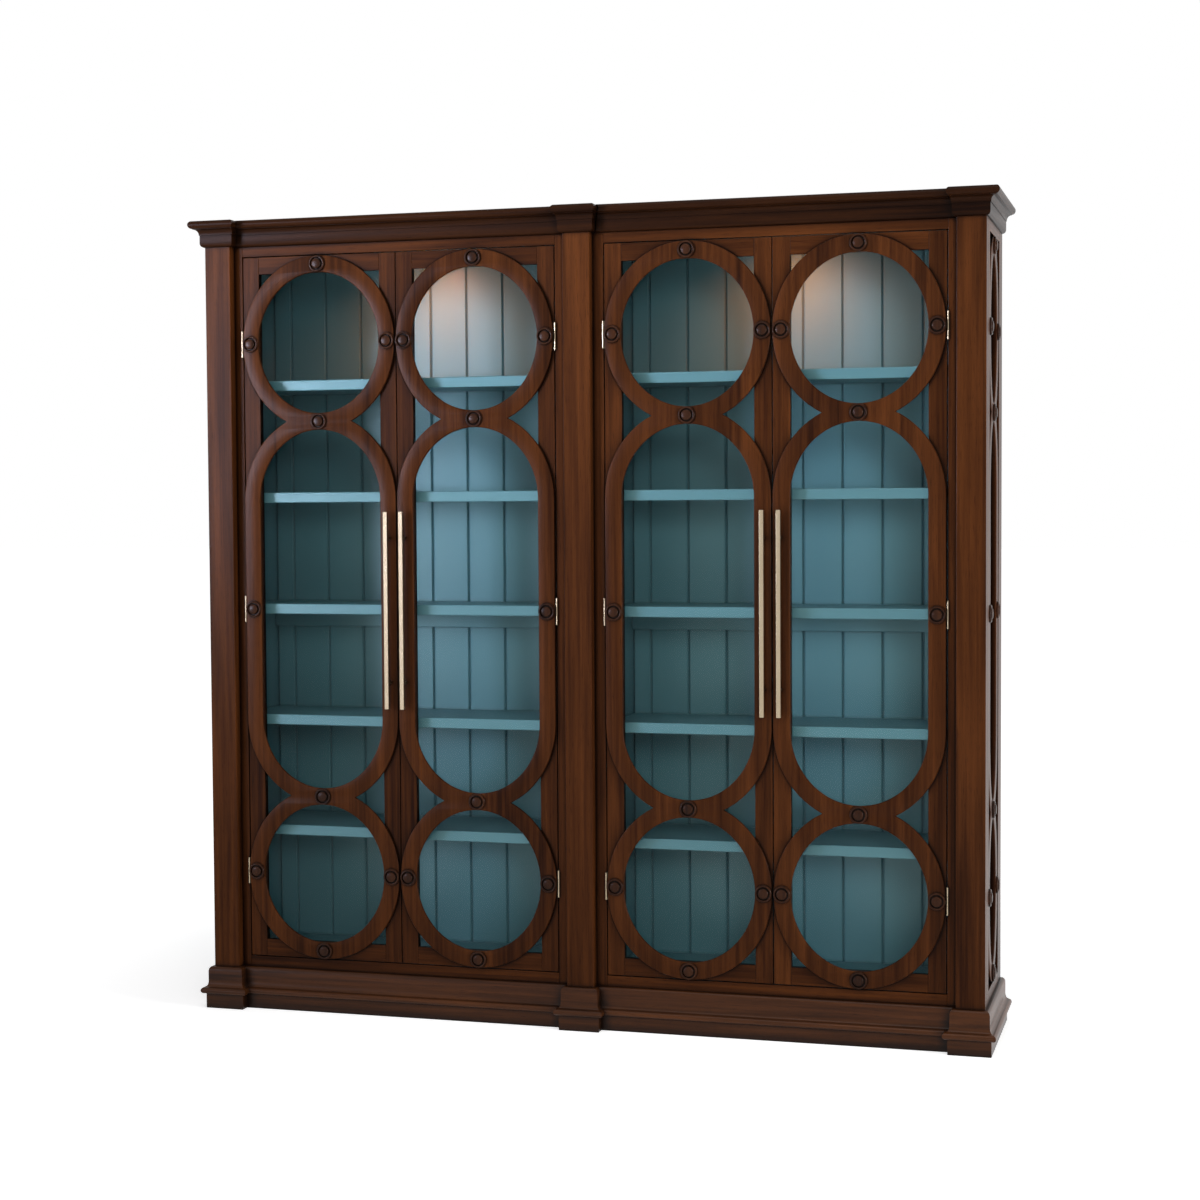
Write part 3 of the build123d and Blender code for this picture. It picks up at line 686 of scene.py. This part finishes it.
def satin_brass(name, along):
    """Drawn brass rubbed lengthways: fine straight scratches and a soft lacquered shine."""
    metal, tree, shader = new_finish(name)
    shader.inputs["Metallic"].default_value = 1
    place = object_place(tree)
    lengthways = order_along(along)[0]
    scale = tuple(SCRATCH_ALONG if axis == lengthways else SCRATCH_ACROSS for axis in range(3))
    scratches = add_noise(tree, place, scale, detail=3)
    tarnish = add_noise(tree, place, scale=9, detail=3)
    tree.links.new(add_blend(tree, tarnish, BRASS_LIGHT, BRASS_DEEP), shader.inputs["Base Color"])
    tree.links.new(add_range(tree, scratches, low=0.2, high=0.36), shader.inputs["Roughness"])
    relief = add_relief(tree, scratches, strength=0.1, depth=0.0001)
    tree.links.new(relief, shader.inputs["Normal"])
    return metal


rests = frame["nodes"]["shelf_pins"]
rests.data.materials.clear()
rests.data.materials.append(satin_brass("rest_brass", "X"))


# --- Ceiling lights --------------------------------------------------------------------
# A round light screwed to the ceiling of each cabinet, between its two doors: a white
# rim, a shallow step and an opal lens that glows warm.

RIM_WHITE = (0.8, 0.79, 0.76, 1)
RIM_SHADE = (0.736, 0.7268, 0.6992, 1)
WARM_GLOW = (1, 0.19, 0.05)
LENS_BRIGHT = 3
LIGHT_SMOOTH = 30
GLOW_WIDE = 0.04
GLOW_SPREAD = 140         # degrees
GLOW_POWER = 2.5
GLOW_BELOW = 0.004        # under the lens
GLOW_ASIDE = 0.01         # to the right of its middle
GLOW_BACK = (-0.1, -0.7, 1)   # away from where it shines: down, to the rear and a little right


def turn_profile(work, layer, outline, place, steps=40):
    """Turns an outline of (radius, height) points round an axis; place stands it up."""
    turns = [2 * math.pi * step / steps for step in range(steps)]
    rings = []
    for radius, height in outline:
        spots = [Vector((radius * math.cos(turn), radius * math.sin(turn), height)) for turn in turns]
        rings.append([work.verts.new(place @ spot) for spot in spots])
    for near, far in zip(rings, rings[1:]):
        join_rings(work, near, far)
    work.faces.new(list(reversed(rings[0])))
    work.faces.new(rings[-1])
    mark_grain([vert for ring in rings for vert in ring], layer, "Z")


def light_finish(name, glow):
    """Moulded opal plastic, very slightly uneven, lit from inside where it glows."""
    plastic, tree, shader = new_finish(name)
    shader.inputs["Emission Color"].default_value = (*WARM_GLOW, 1)
    shader.inputs["Emission Strength"].default_value = glow
    cloud = add_noise(tree, object_place(tree), scale=60, detail=2)
    tree.links.new(add_blend(tree, cloud, RIM_WHITE, RIM_SHADE), shader.inputs["Base Color"])
    tree.links.new(add_range(tree, cloud, low=0.3, high=0.45), shader.inputs["Roughness"])
    return plastic


def hang_glow(place):
    """The light that the lens gives off."""
    glow = bpy.data.lights.new("ceiling_glow", "AREA")
    glow.shape = "DISK"
    glow.size = GLOW_WIDE
    glow.spread = math.radians(GLOW_SPREAD)
    glow.energy = GLOW_POWER
    glow.color = WARM_GLOW
    bulb = bpy.data.objects.new("ceiling_glow", glow)
    bulb.location = place
    bulb.rotation_euler = Vector(GLOW_BACK).to_track_quat("Z", "Y").to_euler()
    bulb.visible_camera = bulb.visible_glossy = False
    bpy.context.collection.objects.link(bulb)


light_low, light_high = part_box("puck_lights")
radius = (light_high[1] - light_low[1]) / 2
deep = light_high[2] - light_low[2]
rim = [
    (radius, 0), (radius, 0.7 * deep), (radius - 0.0025, deep),
    (radius - 0.008, deep), (radius - 0.009, deep - 0.002),
]
lens = [(radius - 0.0092, 0.002), (radius - 0.0092, deep - 0.003), (0.012, deep - 0.0012)]
rim_work, rim_layer = new_work()
lens_work, lens_layer = new_work()
for side in (light_low[0] + radius, light_high[0] - radius):
    centre = Vector((side, (light_low[1] + light_high[1]) / 2, light_high[2]))
    upside_down = Matrix.Translation(centre) @ Matrix.Rotation(math.pi, 4, "X")
    turn_profile(rim_work, rim_layer, rim, upside_down)
    turn_profile(lens_work, lens_layer, lens, upside_down)
    hang_glow(centre + Vector((GLOW_ASIDE, 0, -deep - GLOW_BELOW)))
rim_white = light_finish("rim_white", 0)
lens_opal = light_finish("lens_opal", LENS_BRIGHT)
finish_piece("ceiling_light_rims", rim_work, rim_white, "carcass", ["puck_lights"], LIGHT_SMOOTH)
finish_piece("ceiling_light_lenses", lens_work, lens_opal, "carcass", [], LIGHT_SMOOTH)


# --- Door frames -----------------------------------------------------------------------
# Walnut stiles and rails, rebated behind for the glass, with square beads pinned in the
# rebate to hold it. The stiles run through and the rails are tenoned between them.

STILE = 0.049
REBATE = 0.009
GLASS_SET_BACK = 0.01
GLASS = 0.004
BEAD = 0.008
DOOR_EASE = 0.001


def frame_members(low, high, inset, front, rear):
    """Two stiles and the two rails between them, as one layer of a frame."""
    left, right = low[0] + inset, high[0] - inset
    foot, head = low[2] + inset, high[2] - inset
    return [
        ((low[0], front, low[2]), (left, rear, high[2]), "Z"),
        ((right, front, low[2]), (high[0], rear, high[2]), "Z"),
        ((left, front, low[2]), (right, rear, foot), "X"),
        ((left, front, head), (right, rear, high[2]), "X"),
    ]


for door in DOORS:
    node = f"{door}_frame"
    low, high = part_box(node)
    step, rear = low[1] + GLASS_SET_BACK, high[1]
    inset = STILE - REBATE
    bead_low = (low[0] + inset, 0, low[2] + inset)
    bead_high = (high[0] - inset, 0, high[2] - inset)
    boards = frame_members(low, high, STILE, low[1], step)
    boards += frame_members(low, high, inset, step, rear)
    boards += frame_members(bead_low, bead_high, BEAD, step + GLASS, rear)
    join_boards(f"{node}_walnut", boards, walnut, door, [node], DOOR_EASE)


# --- Glass -----------------------------------------------------------------------------
# One clear sheet of float glass in each door, 4 mm thick and faintly wavy, held in the
# rebate by the beads. Its shape is the frame's; only the glass is set here.

SHEET_TINT = (0.93, 0.97, 0.96, 1)
SHEET_MIRROR = 1.12       # refractive index that sets how strongly its face mirrors


def clear_sheet(name):
    """Thin glass: light goes straight through, and its face mirrors more at a slant."""
    glass = bpy.data.materials.new(name)
    glass.use_nodes = True
    tree = glass.node_tree
    tree.nodes.remove(tree.nodes["Principled BSDF"])
    through = tree.nodes.new("ShaderNodeBsdfTransparent")
    through.inputs["Color"].default_value = SHEET_TINT
    mirror = tree.nodes.new("ShaderNodeBsdfGlossy")
    mirror.inputs["Roughness"].default_value = 0.04
    slant = tree.nodes.new("ShaderNodeFresnel")
    slant.inputs["IOR"].default_value = SHEET_MIRROR
    waves = add_noise(tree, object_place(tree), scale=1.6, detail=2)
    relief = add_relief(tree, waves, strength=0.05, depth=0.002)
    tree.links.new(relief, mirror.inputs["Normal"])
    tree.links.new(relief, slant.inputs["Normal"])
    both = tree.nodes.new("ShaderNodeMixShader")
    tree.links.new(slant.outputs[0], both.inputs[0])
    tree.links.new(through.outputs[0], both.inputs[1])
    tree.links.new(mirror.outputs[0], both.inputs[2])
    tree.links.new(both.outputs[0], tree.nodes["Material Output"].inputs["Surface"])
    return glass


sheet_glass = clear_sheet("sheet_glass")
for door in DOORS:
    sheet = frame["nodes"][f"{door}_glass"]
    sheet.data.materials.clear()
    sheet.data.materials.append(sheet_glass)


# --- Ring fretwork ---------------------------------------------------------------------
# An oval, a long oval and an oval, bandsawn from flat walnut, halved where they cross and
# planted on the door; a narrower set stands in each end. The edges are rounded over.

BAND = 0.048
OVAL_HALF = 0.25
ROUND_OVER = 0.0024
END_FRET = 0.0165         # thickness of the set in an end
FRET_STAIN = ((0.088, 0.0268, 0.0072, 1), (0.018, 0.0053, 0.0019, 1))
WINDOW_POINTS = 96
FRET_SMOOTH = 35

ring_low, ring_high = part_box("door_1_rings")
door_middle = (door_low[2] + door_high[2]) / 2
ring_half = (ring_high[0] - ring_low[0]) / 2
ring_thick = ring_high[1] - ring_low[1]
ring_centre = (ring_high[2] - ring_low[2]) / 2 - OVAL_HALF
ring_crossing = ring_centre - OVAL_HALF + BAND / 2
ring_straight = 2 * ring_crossing - ring_centre   # half the straight side of the long oval
upright = Matrix.Rotation(math.pi / 2, 4, "X")


def window_outline(half_width, half_height, straight):
    """Points round an oval with two straight sides, anticlockwise from the right."""
    points = []
    for step in range(WINDOW_POINTS):
        turn = 2 * math.pi * (step + 0.5) / WINDOW_POINTS
        lift = straight if math.sin(turn) > 0 else -straight
        points.append((half_width * math.cos(turn), half_height * math.sin(turn) + lift))
    return points


def fret_outline(half_width):
    """The outside of the three rings together, with a sharp nick where two of them meet."""
    nick = math.degrees(math.asin((ring_centre - ring_crossing) / OVAL_HALF))
    top = arc((0, ring_centre), (half_width, OVAL_HALF), 90, -nick, 30)
    flank = arc((0, ring_straight), (half_width, OVAL_HALF), nick, 0, 14)
    quarter = top + flank[1:]
    rim = quarter + [(x, -z) for x, z in reversed(quarter)]
    return rim + [(-x, z) for x, z in reversed(rim[1:-1])]


def cut_fret(name, half_width, thick):
    """A flat plate with three windows and rounded edges, lying in the XY plane."""
    small = (half_width - BAND, OVAL_HALF - BAND)
    window = window_outline(*small, 0)
    outlines = [
        fret_outline(half_width),
        [(x, z + ring_centre) for x, z in window],
        [(x, z - ring_centre) for x, z in window],
        window_outline(*small, ring_straight),
    ]
    plate = bpy.data.curves.new(name, "CURVE")
    plate.dimensions = "2D"
    plate.fill_mode = "BOTH"
    plate.extrude = thick / 2 - ROUND_OVER
    plate.bevel_depth = ROUND_OVER
    plate.bevel_resolution = 2
    plate.offset = -ROUND_OVER
    for outline in outlines:
        line = plate.splines.new("POLY")
        line.points.add(len(outline) - 1)
        for point, (x, z) in zip(line.points, outline):
            point.co = (x, z, 0, 1)
        line.use_cyclic_u = True
    holder = bpy.data.objects.new(name, plate)
    bpy.context.collection.objects.link(holder)
    mesh = bpy.data.meshes.new_from_object(holder)
    bpy.data.objects.remove(holder)
    return mesh


def plant_fret(name, mesh, place, body, nodes):
    """Stands a cut plate in its place and finishes it."""
    work, layer = new_work()
    work.from_mesh(mesh)
    bmesh.ops.remove_doubles(work, verts=work.verts[:], dist=0.00002)
    work.transform(place)
    mark_grain(work.verts, layer, "Z")
    finish_piece(name, work, fret_walnut, body, nodes, FRET_SMOOTH)


def place_on_door(door, back):
    """Stands fret coordinates on a door, so far back from the front of its rings."""
    low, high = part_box(f"{door}_rings")
    return Matrix.Translation(((low[0] + high[0]) / 2, low[1] + back, door_middle)) @ upright


def place_on_end(hand, out):
    """Stands fret coordinates on an end, so far out from the face of its panel."""
    way = 1 if hand == "right" else -1
    low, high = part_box(f"{hand}_end_fretwork")
    frame_low, frame_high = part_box(f"{hand}_end_frame")
    panel_face = frame_low[0] + PANEL if hand == "right" else frame_high[0] - PANEL
    middle = (panel_face + way * out, (low[1] + high[1]) / 2, door_middle)
    return Matrix.Translation(middle) @ Matrix.Rotation(way * math.pi / 2, 4, "Z") @ upright


def end_half(hand):
    """Half the width of an end's fretwork."""
    low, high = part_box(f"{hand}_end_fretwork")
    return (high[1] - low[1]) / 2


fret_walnut = satin_walnut("fret_walnut", FRET_STAIN)
door_fret = cut_fret("door_fret", ring_half, ring_thick)
for door in DOORS:
    node = f"{door}_rings"
    plant_fret(f"{node}_walnut", door_fret, place_on_door(door, ring_thick / 2), door, [node])
for hand in HANDS:
    node = f"{hand}_end_fretwork"
    end_fret = cut_fret(f"{hand}_fret", end_half(hand), END_FRET)
    plant_fret(f"{node}_walnut", end_fret, place_on_end(hand, END_FRET / 2), "carcass", [node])


# --- Bosses ----------------------------------------------------------------------------
# Turned walnut buttons glued over the crossings and the extreme points of the rings: a
# rounded rim, a groove and a domed middle.

BOSS_OUT = 0.01
BOSS_RADIUS = 0.0239
BOSS_STAIN = ((0.046, 0.0148, 0.0048, 1), (0.0105, 0.0033, 0.0014, 1))
# The next is how far the painted shade reaches on a button.
BOSS_RECESS = 0.007
BOSS_SMOOTH = 40
HINGE_SIDES = (-1, 1, -1, 1)   # of the doors; the button at mid height is on that side


def boss_outline():
    """Half of the button, from the rim's foot to the middle."""
    rim = arc((BOSS_RADIUS - 0.0033, 0.003), (0.0033, 0.0033), 0, 150, 9)
    groove = [(BOSS_RADIUS - 0.0072, 0.001), (BOSS_RADIUS - 0.009, 0.001)]
    shoulder = arc((BOSS_RADIUS - 0.0128, 0.005), (0.0036, 0.004), -20, 75, 7)
    crown = [(0.0085, 0.0095), (0.0045, BOSS_OUT - 0.0001), (0.0004, BOSS_OUT)]
    return [(BOSS_RADIUS, 0)] + rim + groove + shoulder + crown


def spots_on_fret(half_width, middle_sides):
    """Where the buttons sit, across and up from the middle of the fret."""
    across, up = half_width - BAND / 2, OVAL_HALF - BAND / 2
    spots = [(0, ring_centre + up), (0, ring_crossing), (0, -ring_crossing), (0, -ring_centre - up)]
    spots += [(x, z) for z in (ring_centre, -ring_centre) for x in (-across, across)]
    return spots + [(side * across, 0) for side in middle_sides]


def glue_bosses(name, spots, stand, body, nodes):
    """All the buttons of one fret; stand carries fret coordinates to their face."""
    work, layer = new_work()
    for x, z in spots:
        turn_profile(work, layer, boss_outline(), stand @ Matrix.Translation((x, z, 0)))
    bmesh.ops.recalc_face_normals(work, faces=work.faces[:])
    finish_piece(name, work, boss_walnut, body, nodes, BOSS_SMOOTH)


boss_walnut = satin_walnut("boss_walnut", BOSS_STAIN, BOSS_RECESS, polish=0.1)
for door, side in zip(DOORS, HINGE_SIDES):
    node = f"{door}_bosses"
    glue_bosses(f"{node}_walnut", spots_on_fret(ring_half, (side,)), place_on_door(door, 0), door, [node])
for hand in HANDS:
    spots = spots_on_fret(end_half(hand), (-1, 1))
    glue_bosses(f"{hand}_end_bosses_walnut", spots, place_on_end(hand, END_FRET), "carcass", [])


# --- Handles ---------------------------------------------------------------------------
# A square bar of drawn brass on each door, rubbed to a satin shine. Two short posts hold
# it off the wood and are screwed from behind.

BAR = 0.012
BAR_EASE = 0.0008
POST = 0.008
POST_SPACING = 0.414

bar_brass = satin_brass("bar_brass", "Z")
for door in DOORS:
    node = f"{door}_handle"
    low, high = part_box(node)
    centre = (low[0] + high[0]) / 2
    pieces = [(low, (high[0], low[1] + BAR, high[2]), "Z")]
    for level in (door_middle - POST_SPACING / 2, door_middle + POST_SPACING / 2):
        post_low = (centre - POST / 2, low[1] + BAR, level - POST / 2)
        post_high = (centre + POST / 2, high[1], level + POST / 2)
        pieces.append((post_low, post_high, "Y"))
    join_boards(f"{node}_brass", pieces, bar_brass, door, [node], BAR_EASE)


# --- Hinges ----------------------------------------------------------------------------
# Three brass butt hinges to a door. The end knuckles and the pin belong to the leaf on
# the face frame; the middle knuckle belongs to the leaf on the door's edge.

HINGE_LONG = 0.076
KNUCKLE = 0.003
KNUCKLE_ROUND = 0.0004
KNUCKLE_SLIT = 0.0003
LEAF = 0.001
LEAF_EASE = 0.0003
TAB_EASE = 0.0001
HINGE_SMOOTH = 30


def add_knuckle(work, layer, axis, low, high):
    """A length of barrel with its ends very slightly rounded."""
    long, end = high - low, KNUCKLE - KNUCKLE_ROUND
    outline = [(end, 0), (KNUCKLE, KNUCKLE_ROUND), (KNUCKLE, long - KNUCKLE_ROUND), (end, long)]
    turn_profile(work, layer, outline, Matrix.Translation((axis[0], axis[1], low)), steps=20)


def add_leaf(work, layer, sides, depths, ends, axis, barrels):
    """A leaf, and for each stretch of barrel a tab that runs forward from it to a knuckle."""
    (left, right), (front, rear), (foot, head) = sides, depths, ends
    add_board(work, layer, (left, front, foot), (right, rear, head), "Z", LEAF_EASE)
    for low, high in barrels:
        add_board(work, layer, (left, axis[1], low), (right, front, high), "Z", TAB_EASE)
        add_knuckle(work, layer, axis, low, high)


hinge_brass = satin_brass("hinge_brass", "Z")
frame_work, frame_layer = new_work()
for joint in frame["joints"]:
    door, axis = joint["child"], joint["pos_m"]
    (door_left, door_face, _), (door_right, _, _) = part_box(f"{door}_frame")
    outward = 1 if axis[0] > (door_left + door_right) / 2 else -1
    edge = door_right if outward > 0 else door_left
    wall = edge + outward * DOOR_GAP
    on_door = sorted((edge, edge + outward * LEAF))
    on_wall = sorted((wall, wall - outward * LEAF))
    node = f"{door}_hinge_leaves"
    depths = (door_face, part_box(node)[1][1])
    door_work, door_layer = new_work()
    for level in (door_middle - ring_centre, door_middle, door_middle + ring_centre):
        foot, head = level - HINGE_LONG / 2, level + HINGE_LONG / 2
        cut = HINGE_LONG / 6 + KNUCKLE_SLIT / 2
        middle = (level - cut + KNUCKLE_SLIT, level + cut - KNUCKLE_SLIT)
        outsides = ((foot, level - cut), (level + cut, head))
        add_leaf(door_work, door_layer, on_door, depths, (foot, head), axis, [middle])
        add_leaf(frame_work, frame_layer, on_wall, depths, (foot, head), axis, outsides)
    bmesh.ops.recalc_face_normals(door_work, faces=door_work.faces[:])
    finish_piece(f"{node}_brass", door_work, hinge_brass, door, [node], HINGE_SMOOTH)
node = "frame_hinge_leaves"
bmesh.ops.recalc_face_normals(frame_work, faces=frame_work.faces[:])
finish_piece(f"{node}_brass", frame_work, hinge_brass, "carcass", [node], HINGE_SMOOTH)
